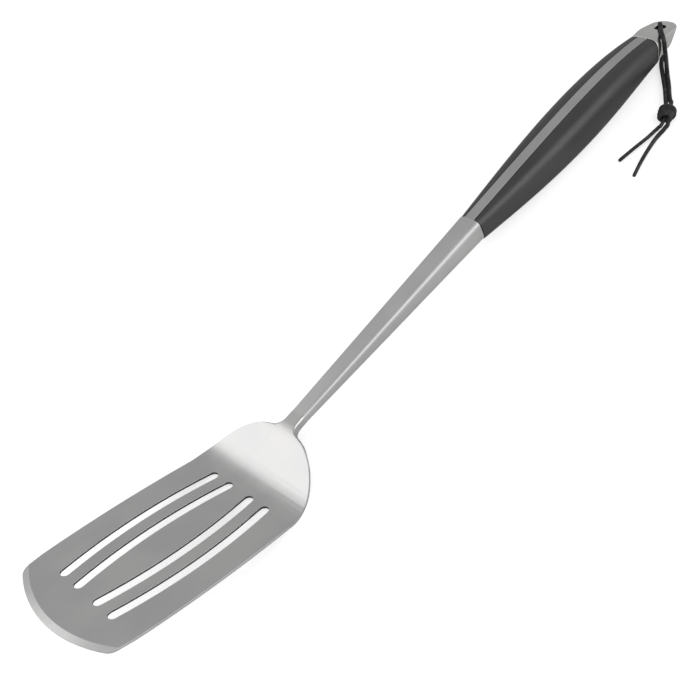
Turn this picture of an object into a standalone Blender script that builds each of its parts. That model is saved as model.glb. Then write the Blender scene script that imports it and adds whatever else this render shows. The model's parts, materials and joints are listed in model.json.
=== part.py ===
"""Grill spatula, 468 mm long: a pressed and slotted steel turner head, a forged shank whose tang runs the
whole length of the handle, a welded butt cap with a hanging hole, two black scales on blind dowels, and
a knotted leather thong. The spatula lies as it comes to rest on a table: on the heel of its head and on
the belly of its handle.

Metres, +Z up, +X towards the handle. The origin is under the middle of the steel and the scales, on the
table. The pieces are drawn in the head's own frame, with its flat top face at z = 0 and its front edge
at x = 0, and an empty tips that frame back until the handle touches the table.
"""

import math

import bmesh
import bpy
from mathutils import Vector

# Between pieces that touch
GAP = 0.0003
# Turner head
SHEET = 0.0012
HEAD_WIDTH = 0.076
HEAD_FLAT = 0.1052
SIDE_BOW = 0.0021
FRONT_RADIUS = 0.068
CORNER_RADIUS = 0.006
BEVEL_LENGTH = 0.003
EDGE_THICKNESS = 0.0005
SHOULDER_LENGTH = 0.0315
SHOULDER_SETBACK = 0.003
NECK_FILLET = 0.005
# The head's rise from its flat to the shank
BEND_RADIUS = 0.028
RISE_ANGLE = math.radians(40)
RISE_RUN = 0.0107
CREST_RADIUS = 0.025
ROOT_RUN = 0.0047
THICKENING_START = 0.67
# Slots
SLOT_WIDTH = 0.0048
SLOT_LENGTH = 0.0878
SLOT_FRONT = 0.0197
SLOT_BOW = 0.0033
INNER_SLOT = 0.0109
OUTER_SLOT = 0.0221
# Shank
SHANK_ANGLE = math.radians(21.3)
SHANK_LENGTH = 0.1374
NECK_WIDTH = 0.0088
NECK_THICKNESS = 0.0052
SHANK_END_WIDTH = 0.0134
SHANK_END_HEIGHT = 0.0132
SHANK_SQUARENESS = 4.6
# Handle
HANDLE_LENGTH = 0.1857
HANDLE_DROOP = 0.0184
DROOP_POWER = 4.4
FRONT_WIDTH = 0.0142
FRONT_HEIGHT = 0.0145
BELLY_WIDTH = 0.0265
BELLY_HEIGHT = 0.0234
BELLY_PLACE = 0.095
BUTT_WIDTH = 0.0152
BUTT_HEIGHT = 0.0115
TOP_SQUARENESS = 3.3
BOTTOM_SQUARENESS = 3.1
TANG_WIDTH = 0.006
SCALE_LENGTH = 0.159
TANG_ROOT = 0.006
LAP = 0.002
# Butt cap
END_LEAN = math.radians(33)
CAP_SQUARENESS = 9
CAP_FLARE = 0.010
CAP_SIDE_STEPS = 10
CAP_ROUND_STEPS = 19
CAP_LEVELS = 22
HOLE_RADIUS = 0.003
HOLE_TO_END = 0.0100
TENON_LENGTH = 0.007
TENON_WIDTH = 0.0034
TENON_HEIGHT = 0.007
# Blind dowels that hold the scales
DOWEL_RADIUS = 0.002
DOWEL_LENGTH = 0.014
DOWEL_PLACES = (0.026, 0.080, 0.134)
# Leather thong, with its points from the middle of the hanging hole, and their height above the table
THONG_DIAMETER = 0.0022
UPPER_STRAND = (
    (0.0012, 0.0009, 0.0118),
    (0.0009, 0.0007, 0.0146),
    (-0.0007, -0.0005, 0.0172),
    (-0.0036, -0.0029, 0.0183),
    (-0.0074, -0.0057, 0.0184),
    (-0.0106, -0.0082, 0.0187),
    (-0.0126, -0.0103, 0.0176),
    (-0.0135, -0.0112, 0.0146),
    (-0.0140, -0.0114, 0.0105),
    (-0.0152, -0.0122, 0.0058),
    (-0.0184, -0.0142, 0.0023),
    (-0.0240, -0.0182, 0.0014),
    (-0.0310, -0.0234, 0.0014),
    (-0.0380, -0.0282, 0.0019),
    (-0.0430, -0.0319, 0.0027),
    (-0.0474, -0.0352, 0.0033),
)
LOWER_STRAND = (
    (0.0012, 0.0009, 0.0115),
    (0.0013, 0.0010, 0.0088),
    (0.0012, 0.0009, 0.0062),
    (0.0006, 0.0004, 0.0037),
    (-0.0009, -0.0008, 0.0019),
    (-0.0032, -0.0025, 0.0013),
    (-0.0065, -0.0044, 0.0012),
    (-0.0100, -0.0057, 0.0012),
    (-0.0140, -0.0072, 0.0012),
    (-0.0185, -0.0100, 0.0012),
    (-0.0264, -0.0160, 0.0012),
    (-0.0345, -0.0223, 0.0015),
    (-0.0400, -0.0264, 0.0022),
    (-0.0443, -0.0297, 0.0028),
    (-0.0484, -0.0330, 0.0033),
)
KNOT_CENTRE = (-0.0542, -0.0372, 0.0033)
KNOT_SIZE = (0.0130, 0.0092, 0.0062)
KNOT_TURN = math.radians(26)
INNER_TAIL = (
    (-0.0620, -0.0390, 0.0028),
    (-0.0642, -0.0382, 0.0018),
    (-0.0670, -0.0375, 0.0013),
    (-0.0728, -0.0369, 0.0012),
    (-0.0822, -0.0352, 0.0012),
    (-0.0941, -0.0333, 0.0012),
)
OUTER_TAIL = (
    (-0.0601, -0.0415, 0.0029),
    (-0.0634, -0.0416, 0.0017),
    (-0.0675, -0.0414, 0.0012),
    (-0.0738, -0.0416, 0.0012),
    (-0.0826, -0.0429, 0.0012),
    (-0.0912, -0.0446, 0.0012),
    (-0.1014, -0.0472, 0.0012),
)

STEEL = ((0.60, 0.60, 0.60), 0.32, 1.0)
POLISHED = ((0.68, 0.68, 0.67), 0.18, 1.0)
BLACK = ((0.045, 0.045, 0.047), 0.42, 0.0)
DOWEL_STEEL = ((0.55, 0.55, 0.56), 0.35, 1.0)
LEATHER = ((0.028, 0.026, 0.025), 0.62, 0.0)


def clear_scene():
    for thing in list(bpy.data.objects):
        bpy.data.objects.remove(thing, do_unlink=True)


def new_collection(name):
    made = bpy.data.collections.new(name)
    bpy.context.scene.collection.children.link(made)
    return made


def new_material(name, finish):
    colour, roughness, metallic = finish
    made = bpy.data.materials.new(name)
    made.use_nodes = True
    shader = made.node_tree.nodes["Principled BSDF"]
    shader.inputs["Base Color"].default_value = (*colour, 1.0)
    shader.inputs["Roughness"].default_value = roughness
    shader.inputs["Metallic"].default_value = metallic
    return made


def object_from(bm, name, collection, material=None):
    """A mesh object of this bmesh, with its faces turned outwards."""
    bmesh.ops.recalc_face_normals(bm, faces=bm.faces)
    mesh = bpy.data.meshes.new(name)
    bm.to_mesh(mesh)
    bm.free()
    if material:
        mesh.materials.append(material)
    made = bpy.data.objects.new(name, mesh)
    collection.objects.link(made)
    return made


def smooth(obj, degrees=35):
    obj.data.shade_smooth()
    obj.data.set_sharp_from_angle(angle=math.radians(degrees))


def cut(obj, cutter, operation="DIFFERENCE"):
    step = obj.modifiers.new(f"{operation.lower()}_{cutter.name}", "BOOLEAN")
    step.operation = operation
    step.object = cutter
    step.solver = "EXACT"
    cutter.hide_render = True
    cutter.display_type = "WIRE"


# The head's profile


def rise(x):
    """Height and slope of the head's top face at x: flat, bent up, straight, then over into the shank."""
    if x <= HEAD_FLAT:
        return 0.0, 0.0
    ramp = HEAD_FLAT + BEND_RADIUS * math.sin(RISE_ANGLE)
    if x < ramp:
        slope = math.asin((x - HEAD_FLAT) / BEND_RADIUS)
        return BEND_RADIUS * (1 - math.cos(slope)), slope
    height = BEND_RADIUS * (1 - math.cos(RISE_ANGLE))
    crest = ramp + RISE_RUN
    if x < crest:
        return height + (x - ramp) * math.tan(RISE_ANGLE), RISE_ANGLE
    height += RISE_RUN * math.tan(RISE_ANGLE)
    if x < root_start():
        slope = math.asin(math.sin(RISE_ANGLE) - (x - crest) / CREST_RADIUS)
        return height + CREST_RADIUS * (math.cos(slope) - math.cos(RISE_ANGLE)), slope
    height += CREST_RADIUS * (math.cos(SHANK_ANGLE) - math.cos(RISE_ANGLE))
    return height + (x - root_start()) * math.tan(SHANK_ANGLE), SHANK_ANGLE


def root_start():
    """Where the head's crest has turned to the slope of the shank."""
    turned = CREST_RADIUS * (math.sin(RISE_ANGLE) - math.sin(SHANK_ANGLE))
    return HEAD_FLAT + BEND_RADIUS * math.sin(RISE_ANGLE) + RISE_RUN + turned


def root_end():
    return root_start() + ROOT_RUN


def head_thickness(x):
    """The sheet thickens over the rise to meet the shank."""
    start = HEAD_FLAT + THICKENING_START * (root_end() - HEAD_FLAT)
    share = min(max((x - start) / (root_start() - start), 0.0), 1.0)
    return SHEET + (NECK_THICKNESS - SHEET) * share * share * (3 - 2 * share)


def bend(point):
    """Move a point of the flat blank, at a height between -SHEET and 0, to its place in the pressed head."""
    height, slope = rise(point.x)
    depth = point.z / SHEET * head_thickness(point.x)
    return Vector((point.x - depth * math.sin(slope), point.y, height + depth * math.cos(slope)))


# The head's outline


def side(x):
    """Half width of the head along its bowed sides."""
    middle = HEAD_FLAT / 2
    return HEAD_WIDTH / 2 - SIDE_BOW * ((x - middle - CORNER_RADIUS) / middle) ** 2


def shoulder(angle):
    """A point of the elliptical shoulder, from the side at 0 to the middle line at a right angle."""
    start = root_start() - SHOULDER_SETBACK - SHOULDER_LENGTH
    return start + SHOULDER_LENGTH * math.sin(angle), side(start) * math.cos(angle)


def neck_fillet():
    """Points of the hollow corner between the shoulder and the neck, from the neck outwards."""
    middle_y = NECK_WIDTH / 2 + NECK_FILLET
    samples = [shoulder(math.pi / 2 * i / 400) for i in range(401)]
    low, high = samples[-1][0], samples[-1][0] + 2 * NECK_FILLET
    for _ in range(40):
        middle_x = (low + high) / 2
        nearest = min(math.hypot(x - middle_x, y - middle_y) for x, y in samples)
        if nearest > NECK_FILLET:
            high = middle_x
        else:
            low = middle_x
    touch = min(samples, key=lambda p: math.hypot(p[0] - middle_x, p[1] - middle_y))
    last = math.atan2(touch[1] - middle_y, touch[0] - middle_x) % math.tau
    first = 1.5 * math.pi
    steps = 8
    points = []
    for i in range(steps + 1):
        turn = first + (last - first) * i / steps
        points.append((middle_x + NECK_FILLET * math.cos(turn), middle_y + NECK_FILLET * math.sin(turn)))
    return points, touch


def half_outline():
    """The head's outline on one side, from the root to the middle of the front edge."""
    points = [(root_end(), NECK_WIDTH / 2)]
    fillet, touch = neck_fillet()
    points += fillet
    start_x, start_y = shoulder(0)
    first = math.asin((touch[0] - start_x) / SHOULDER_LENGTH)
    points += [shoulder(first * (1 - i / 16)) for i in range(1, 17)]
    corner_y = side(CORNER_RADIUS) - CORNER_RADIUS
    reach = FRONT_RADIUS - CORNER_RADIUS
    corner_x = FRONT_RADIUS - math.sqrt(reach**2 - corner_y**2)
    for i in range(1, 12):
        x = start_x + (corner_x - start_x) * i / 12
        points.append((x, side(x)))
    last = math.atan2(corner_y, corner_x - FRONT_RADIUS)
    for i in range(7):
        turn = math.pi / 2 + (last - math.pi / 2) * i / 6
        x = corner_x + CORNER_RADIUS * math.cos(turn)
        points.append((x, corner_y + CORNER_RADIUS * math.sin(turn)))
    for i in range(1, 11):
        turn = last + (math.pi - last) * i / 10
        points.append((FRONT_RADIUS * (1 + math.cos(turn)), FRONT_RADIUS * math.sin(turn)))
    return points


def head_outline():
    half = half_outline()
    mirrored = [(x, -y) for x, y in reversed(half[:-1])]
    return half[:-1] + [(half[-1][0], 0.0)] + mirrored


def slot_line(middle_y, along):
    """The middle line of a slot, bowed outwards: a point and its direction, along from -1 to 1."""
    straight = (SLOT_LENGTH - SLOT_WIDTH) / 2
    x = SLOT_FRONT + SLOT_LENGTH / 2 + straight * along
    outward = math.copysign(1, middle_y)
    y = middle_y - outward * SLOT_BOW * along**2
    return Vector((x, y)), Vector((straight, -2 * outward * SLOT_BOW * along)).normalized()


def slot_outline(middle_y):
    points = []
    for direction in (1, -1):
        for i in range(13):
            at, ahead = slot_line(middle_y, direction * (i / 6 - 1))
            across = Vector((-ahead.y, ahead.x)) * direction
            points.append(at - across * SLOT_WIDTH / 2)
        at, ahead = slot_line(middle_y, direction)
        across = Vector((-ahead.y, ahead.x)) * direction
        for i in range(1, 8):
            turn = math.pi * i / 8
            arm = ahead * direction * math.sin(turn) - across * math.cos(turn)
            points.append(at + arm * SLOT_WIDTH / 2)
    return [(p.x, p.y) for p in points]


def flat_blank(collection):
    """The head's blank as a mesh, with its slots, its top face at z = 0."""
    data = bpy.data.curves.new("blank", "CURVE")
    data.dimensions = "2D"
    data.fill_mode = "BOTH"
    data.extrude = SHEET / 2
    outlines = [head_outline()]
    outlines += [slot_outline(y) for y in (-OUTER_SLOT, -INNER_SLOT, INNER_SLOT, OUTER_SLOT)]
    for outline in outlines:
        spline = data.splines.new("POLY")
        spline.points.add(len(outline) - 1)
        for point, (x, y) in zip(spline.points, outline):
            point.co = (x, y, 0, 1)
        spline.use_cyclic_u = True
    curve = bpy.data.objects.new("blank", data)
    collection.objects.link(curve)
    bpy.context.view_layer.update()
    graph = bpy.context.evaluated_depsgraph_get()
    mesh = bpy.data.meshes.new_from_object(curve.evaluated_get(graph))
    bpy.data.objects.remove(curve)
    bm = bmesh.new()
    bm.from_mesh(mesh)
    bmesh.ops.remove_doubles(bm, verts=bm.verts, dist=1e-6)
    bmesh.ops.dissolve_limit(bm, angle_limit=math.radians(0.05), verts=bm.verts, edges=bm.edges)
    bmesh.ops.translate(bm, verts=bm.verts, vec=(0, 0, -SHEET / 2))
    return bm


def make_head(collection, cutters, material):
    """The flat blank, creased across where the press bends it, bent, and its front edge ground thin."""
    bm = flat_blank(cutters)
    creases = 22
    for i in range(creases):
        x = HEAD_FLAT + (root_end() - HEAD_FLAT) * i / creases
        geometry = bm.verts[:] + bm.edges[:] + bm.faces[:]
        bmesh.ops.bisect_plane(bm, geom=geometry, plane_co=(x, 0, 0), plane_no=(1, 0, 0), dist=1e-7)
    for vert in bm.verts:
        vert.co = bend(vert.co)
    head = object_from(bm, "turner_head", collection, material)
    cut(head, front_bevel(cutters))
    smooth(head)
    return head


def front_bevel(collection):
    """The grinding cut: a turned wedge on the front edge's own centre, over all of that edge."""
    inner = FRONT_RADIUS - BEVEL_LENGTH
    outer = FRONT_RADIUS + 0.004
    fall = (SHEET - EDGE_THICKNESS) / BEVEL_LENGTH
    above = 0.002
    run = above / 2
    profile = ((inner - run, above), (outer, above), (outer, -fall * (outer - inner)), (inner, 0))
    half_turn = math.radians(40)
    bm = bmesh.new()
    verts = [bm.verts.new((-r * math.cos(half_turn), -r * math.sin(half_turn), z)) for r, z in profile]
    ring = bm.faces.new(verts)
    steps = 24
    bmesh.ops.spin(
        bm, geom=[ring, *ring.edges, *ring.verts], cent=(0, 0, 0), axis=(0, 0, 1),
        angle=-2 * half_turn, steps=steps, use_merge=False, use_duplicate=False,
    )
    bmesh.ops.translate(bm, verts=bm.verts, vec=(FRONT_RADIUS, 0, 0))
    bmesh.ops.remove_doubles(bm, verts=bm.verts, dist=1e-6)
    return object_from(bm, "front_grind", collection)


# The line of the shank and the handle


def joint_point():
    height, _ = rise(root_end())
    return Vector((root_end(), 0, height))


ALONG = Vector((math.cos(SHANK_ANGLE), 0, math.sin(SHANK_ANGLE)))
SQUARE = Vector((-math.sin(SHANK_ANGLE), 0, math.cos(SHANK_ANGLE)))


def droop(u):
    """How far the handle's top has fallen below the shank's straight line, and how steeply it falls."""
    if u <= 0:
        return 0.0, 0.0
    share = u / HANDLE_LENGTH
    steepest = HANDLE_DROOP * DROOP_POWER / HANDLE_LENGTH
    return HANDLE_DROOP * share**DROOP_POWER, steepest * share ** (DROOP_POWER - 1)


def top_line(u):
    """The middle of the top face u beyond the scales' front ends, with its direction and its normal."""
    fall, slope = droop(u)
    start = joint_point() + ALONG * SHANK_LENGTH
    ahead = (ALONG - SQUARE * slope).normalized()
    up = Vector((-ahead.z, 0, ahead.x))
    return start + ALONG * u - SQUARE * fall, ahead, up


def swell(u, front, belly, butt):
    """A size that grows from the handle's front to its belly and shrinks again to its butt."""
    if u < BELLY_PLACE:
        return front + (belly - front) * math.sin(math.pi / 2 * max(u, 0) / BELLY_PLACE)
    share = (u - BELLY_PLACE) / (HANDLE_LENGTH - BELLY_PLACE)
    return butt + (belly - butt) * math.cos(math.pi / 2 * share)


def handle_size(u):
    width = swell(u, FRONT_WIDTH, BELLY_WIDTH, BUTT_WIDTH)
    return width / 2, swell(u, FRONT_HEIGHT, BELLY_HEIGHT, BUTT_HEIGHT)


def shank_size(u):
    share = 1 + u / SHANK_LENGTH
    width = NECK_WIDTH + (SHANK_END_WIDTH - NECK_WIDTH) * share
    return width / 2, NECK_THICKNESS + (SHANK_END_HEIGHT - NECK_THICKNESS) * share


def arc_point(turn, half, height, top, bottom):
    """A point of a rounded section, across it and down from its top. turn is 0 at the side."""
    power = 2 / (top if math.sin(turn) >= 0 else bottom)
    across = half * math.copysign(abs(math.cos(turn)) ** power, math.cos(turn))
    rise_up = height / 2 * math.copysign(abs(math.sin(turn)) ** power, math.sin(turn))
    return across, rise_up - height / 2


def at_section(u, across, down, lean=0.0):
    """A point across from the middle and up from the top face, on a section that leans back below it."""
    top, ahead, up = top_line(u)
    return top + Vector((0, across, 0)) + up * down + ahead * (down * math.tan(lean))


def full_ring(u, size, squareness, sides=32):
    half, height = size
    turns = [math.tau * (i + 0.5) / sides for i in range(sides)]
    return [at_section(u, *arc_point(turn, half, height, *squareness)) for turn in turns]


def half_ring(u, size, squareness, inner, way, steps=16):
    """The part of a section beyond inner, on the side that way says."""
    half, height = size
    top_turn = math.acos((inner / half) ** (squareness[0] / 2))
    bottom_turn = math.acos((inner / half) ** (squareness[1] / 2))
    points = []
    for i in range(steps + 1):
        share = i / steps
        turn = top_turn - (top_turn + bottom_turn) * share
        across, down = arc_point(turn, half, height, *squareness)
        points.append(at_section(u, way * max(across, inner), down))
    return points


def box_ring(u, half, top, bottom):
    return [at_section(u, y, z) for y, z in ((half, top), (-half, top), (-half, bottom), (half, bottom))]


def loft(rings):
    """A closed bmesh through rings of the same number of points."""
    bm = bmesh.new()
    rows = [[bm.verts.new(point) for point in ring] for ring in rings]
    for row, after in zip(rows, rows[1:]):
        for i in range(len(row)):
            j = (i + 1) % len(row)
            bm.faces.new((row[i], row[j], after[j], after[i]))
    bm.faces.new(rows[0])
    bm.faces.new(rows[-1])
    return bm


def spaced(first, last, steps):
    return [first + (last - first) * i / steps for i in range(steps + 1)]


def make_shank(collection, cutters, material):
    """The shank and its tang, which is as tall as the handle and ends in a tenon for the butt cap."""
    squareness = (SHANK_SQUARENESS, SHANK_SQUARENESS)
    places = spaced(GAP - SHANK_LENGTH, 0, 10)
    shank = object_from(
        loft([full_ring(u, shank_size(u), squareness) for u in places]), "shank", collection, material
    )
    inset = 0.001
    rooted = [box_ring(u, TANG_WIDTH / 2, -inset, inset - shank_size(u)[1]) for u in (-TANG_ROOT, -inset)]
    open_run = [box_ring(u, TANG_WIDTH / 2, 0, -handle_size(u)[1]) for u in spaced(0, SCALE_LENGTH, 32)]
    tang = object_from(loft(rooted + open_run), "tang_blank", cutters)
    cut(shank, tang, "UNION")
    _, height = handle_size(SCALE_LENGTH)
    middle = -height / 2
    ends = (SCALE_LENGTH - LAP, SCALE_LENGTH + TENON_LENGTH)
    half, tall = TENON_WIDTH / 2, TENON_HEIGHT / 2
    rings = [box_ring(u, half, middle + tall, middle - tall) for u in ends]
    cut(shank, object_from(loft(rings), "tenon_blank", cutters), "UNION")
    for place in DOWEL_PLACES:
        cut(shank, dowel_shape(place, GAP, TANG_WIDTH * 2, cutters, f"tang_hole_{place * 1000:.0f}"))
    smooth(shank)
    return shank


def dowel_shape(place, clearance, length, collection, name, material=None):
    """A rod across the handle, half way down it."""
    _, height = handle_size(place)
    bm = bmesh.new()
    bmesh.ops.create_cone(
        bm, cap_ends=True, segments=24, radius1=DOWEL_RADIUS + clearance,
        radius2=DOWEL_RADIUS + clearance, depth=length,
    )
    made = object_from(bm, name, collection, material)
    made.rotation_euler = (math.pi / 2, 0, 0)
    made.location = at_section(place, 0, -height / 2)
    return made


def make_dowels(collection, material):
    made = []
    for number, place in enumerate(DOWEL_PLACES, start=1):
        dowel = dowel_shape(place, 0, DOWEL_LENGTH, collection, f"scale_dowel_{number}", material)
        smooth(dowel)
        made.append(dowel)
    return made


def make_scale(name, way, collection, cutters, material):
    """One handle scale, flush with the tang above and below, with blind holes for the dowels."""
    inner = TANG_WIDTH / 2 + GAP
    squareness = (TOP_SQUARENESS, BOTTOM_SQUARENESS)
    places = spaced(GAP, SCALE_LENGTH - GAP, 32)
    rings = [half_ring(u, handle_size(u), squareness, inner, way) for u in places]
    scale = object_from(loft(rings), name, collection, material)
    for place in DOWEL_PLACES:
        length = DOWEL_LENGTH + 2 * GAP
        cut(scale, dowel_shape(place, GAP, length, cutters, f"{name}_hole_{place * 1000:.0f}"))
    smooth(scale)
    return scale


def round_centre():
    """Where the cap's round end has its centre, so that it reaches the handle's end."""
    return HANDLE_LENGTH - handle_size(HANDLE_LENGTH)[0]


def cap_squareness(u):
    """The cap's top is as round as the scales where it meets them, and soon flat."""
    share = min((u - SCALE_LENGTH) / CAP_FLARE, 1.0)
    return TOP_SQUARENESS + (CAP_SQUARENESS - TOP_SQUARENESS) * share * share, BOTTOM_SQUARENESS


def cap_ring(turn):
    """The cap's outline at one level: along one side, round the leaning end and back along the other."""
    centre = round_centre()
    first = SCALE_LENGTH + GAP
    points = []
    for u in spaced(first, centre, CAP_SIDE_STEPS):
        lean = END_LEAN * (u - first) / (centre - first)
        across, down = arc_point(turn, *handle_size(u), *cap_squareness(u))
        points.append(at_section(u, -across, down, lean))
    _, ahead, _ = top_line(centre)
    for i in range(1, CAP_ROUND_STEPS):
        sweep = math.pi * (i / CAP_ROUND_STEPS - 0.5)
        side_point = at_section(centre, across * math.sin(sweep), down, END_LEAN)
        points.append(side_point + ahead * (across * math.cos(sweep)))
    return points + [Vector((p.x, -p.y, p.z)) for p in reversed(points[: CAP_SIDE_STEPS + 1])]


def make_cap(collection, cutters, material):
    """The butt cap: the handle's form carried on to a round end that is cut back below."""
    steepest = math.radians(88)
    turns = spaced(steepest, -steepest, CAP_LEVELS)
    bm = bmesh.new()
    rows = [[bm.verts.new(point) for point in cap_ring(turn)] for turn in turns]
    for row, below in zip(rows, rows[1:]):
        for i in range(len(row)):
            j = (i + 1) % len(row)
            bm.faces.new((row[i], row[j], below[j], below[i]))
    for row in (rows[0], rows[-1]):
        for i in range(len(row) // 2 - 1):
            bm.faces.new((row[i], row[i + 1], row[-2 - i], row[-1 - i]))
    cap = object_from(bm, "butt_cap", collection, material)
    _, height = handle_size(SCALE_LENGTH)
    middle = -height / 2
    half, tall = TENON_WIDTH / 2 + GAP, TENON_HEIGHT / 2 + GAP
    ends = (SCALE_LENGTH - LAP, SCALE_LENGTH + TENON_LENGTH + GAP)
    rings = [box_ring(u, half, middle + tall, middle - tall) for u in ends]
    cut(cap, object_from(loft(rings), "mortise", cutters))
    cut(cap, hole_cutter(cutters))
    smooth(cap)
    return cap


def hole_mouth():
    """The middle of the hanging hole's upper mouth, on the cap's top face."""
    return at_section(HANDLE_LENGTH - HOLE_TO_END, 0, 0)


def turned(name, profile, steps, collection):
    """A full turn of a closed-up profile of (radius, height), which runs from the top down."""
    bm = bmesh.new()
    verts = [bm.verts.new((r, 0, z)) for r, z in profile]
    for above, below in zip(verts, verts[1:]):
        bm.edges.new((above, below))
    mesh = bpy.data.meshes.new(name)
    bm.to_mesh(mesh)
    bm.free()
    made = bpy.data.objects.new(name, mesh)
    collection.objects.link(made)
    screw = made.modifiers.new("turn", "SCREW")
    screw.steps = screw.render_steps = steps
    screw.use_merge_vertices = True
    screw.merge_threshold = 1e-6
    return made


def hole_cutter(collection):
    """The hanging hole, which stands upright when the spatula lies on the table, with a flared top mouth."""
    flare, above, below = 0.0008, 0.003, 0.02
    profile = (
        (0, above), (HOLE_RADIUS + flare + above, above), (HOLE_RADIUS, -flare), (HOLE_RADIUS, -below),
        (0, -below),
    )
    made = turned("hanging_hole", profile, 32, collection)
    made.location = hole_mouth()
    made.rotation_euler = (0, -resting_tilt(), 0)
    return made


# The thong


def through(points, spacing):
    """Points about this far apart on a smooth curve through the given ones."""
    knots = [Vector(p) for p in points]
    knots = [2 * knots[0] - knots[1], *knots, 2 * knots[-1] - knots[-2]]
    fine = []
    for a, b, c, d in zip(knots, knots[1:], knots[2:], knots[3:]):
        for i in range(12):
            t = i / 12
            square = (2 * a - 5 * b + 4 * c - d) * t**2
            cube = (3 * b - a - 3 * c + d) * t**3
            fine.append((2 * b + (c - a) * t + square + cube) / 2)
    fine.append(knots[-2])
    lengths = [0.0]
    for before, after in zip(fine, fine[1:]):
        lengths.append(lengths[-1] + (after - before).length)
    count = max(2, round(lengths[-1] / spacing))
    even = []
    for i in range(count + 1):
        wanted = lengths[-1] * i / count
        j = max(1, next((k for k, run in enumerate(lengths) if run >= wanted - 1e-12), len(fine) - 1))
        share = (wanted - lengths[j - 1]) / max(lengths[j] - lengths[j - 1], 1e-12)
        even.append(fine[j - 1].lerp(fine[j], share))
    return even


def make_strand(name, points, collection, material):
    data = bpy.data.curves.new(name, "CURVE")
    data.dimensions = "3D"
    data.bevel_depth = THONG_DIAMETER / 2
    data.bevel_resolution = 2
    data.use_fill_caps = True
    data.materials.append(material)
    even = through(points, 2 * THONG_DIAMETER)
    spline = data.splines.new("POLY")
    spline.points.add(len(even) - 1)
    for point, place in zip(spline.points, even):
        point.co = (*place, 1)
    made = bpy.data.objects.new(name, data)
    collection.objects.link(made)
    return made


def make_knot(collection, material):
    """The overhand knot as one lump: a coarse cage, smoothed."""
    bm = bmesh.new()
    bmesh.ops.create_cube(bm, size=1)
    bmesh.ops.scale(bm, vec=KNOT_SIZE, verts=bm.verts)
    knot = object_from(bm, "thong_knot", collection, material)
    bevel = knot.modifiers.new("round", "BEVEL")
    bevel.width = 0.45 * min(KNOT_SIZE)
    bevel.segments = 5
    knot.location = KNOT_CENTRE
    knot.rotation_euler = (0, 0, KNOT_TURN)
    smooth(knot, 60)
    return knot


# The rest on the table


def resting_tilt():
    """The angle that brings the handle's belly down to the level of the head's heel."""
    heel = [bend(Vector((x, 0, -SHEET))) for x in spaced(HEAD_FLAT, root_end(), 60)]
    grip = [at_section(u, 0, -handle_size(u)[1]) for u in spaced(0, SCALE_LENGTH, 120)]
    grip += cap_ring(-math.pi / 2)

    def lowest(points, tilt):
        return min(p.z * math.cos(tilt) - p.x * math.sin(tilt) for p in points)

    level, steep = 0.0, math.radians(45)
    for _ in range(50):
        tilt = (level + steep) / 2
        if lowest(grip, tilt) > lowest(heel, tilt):
            level = tilt
        else:
            steep = tilt
    return tilt


def stand_on_table(pieces):
    """Tip the frame that holds the pieces, and move it so that the table's origin is under their middle."""
    frame = bpy.data.objects.new("spatula_frame", None)
    bpy.context.scene.collection.objects.link(frame)
    tilt = resting_tilt()
    frame.rotation_euler = (0, tilt, 0)
    for piece in pieces:
        piece.parent = frame
    bpy.context.view_layer.update()
    graph = bpy.context.evaluated_depsgraph_get()
    corners = []
    for piece in pieces:
        if piece.hide_render:
            continue
        made = piece.evaluated_get(graph)
        corners += [made.matrix_world @ vert.co for vert in made.data.vertices]
    lengthwise = [corner.x for corner in corners]
    floor = min(corner.z for corner in corners)
    frame.location = (-(min(lengthwise) + max(lengthwise)) / 2, 0, -floor)
    bpy.context.view_layer.update()
    return frame


def main():
    clear_scene()
    parts = new_collection("grill_spatula")
    cutters = new_collection("cutters")
    steel = new_material("brushed_steel_head", STEEL)
    head = make_head(parts, cutters, steel)
    shank = make_shank(parts, cutters, new_material("brushed_steel_shank", STEEL))
    cap = make_cap(parts, cutters, new_material("polished_steel_cap", POLISHED))
    dowels = make_dowels(parts, new_material("dowel_steel", DOWEL_STEEL))
    scales = [
        make_scale("left_scale", 1, parts, cutters, new_material("black_scale_left", BLACK)),
        make_scale("right_scale", -1, parts, cutters, new_material("black_scale_right", BLACK)),
    ]
    frame = stand_on_table([head, shank, cap, *dowels, *scales, *cutters.objects])
    mouth = frame.matrix_world @ hole_mouth()
    leather = new_material("thong_leather", LEATHER)
    thong = [
        make_strand("thong_upper_strand", UPPER_STRAND, parts, leather),
        make_strand("thong_lower_strand", LOWER_STRAND, parts, leather),
        make_strand("thong_inner_tail", INNER_TAIL, parts, leather),
        make_strand("thong_outer_tail", OUTER_TAIL, parts, leather),
        make_knot(parts, leather),
    ]
    thong_frame = bpy.data.objects.new("thong_frame", None)
    parts.objects.link(thong_frame)
    thong_frame.location = (mouth.x, 0, 0)
    for piece in thong:
        piece.parent = thong_frame
    bpy.context.view_layer.update()


main()
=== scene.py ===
"""Grill spatula, finished for viewing: a slotted and cranked steel head, a forged shank with its full tang,
a butt cap, two black scales and a knotted leather lace, lying on a pale studio floor.

Metres, +Z up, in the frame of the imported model: +X runs from the front edge to the butt.
"""

import json
import logging
import math
from dataclasses import dataclass, field
from enum import Enum
from typing import Callable

import bmesh
import bpy
from mathutils import Matrix, Vector


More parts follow.
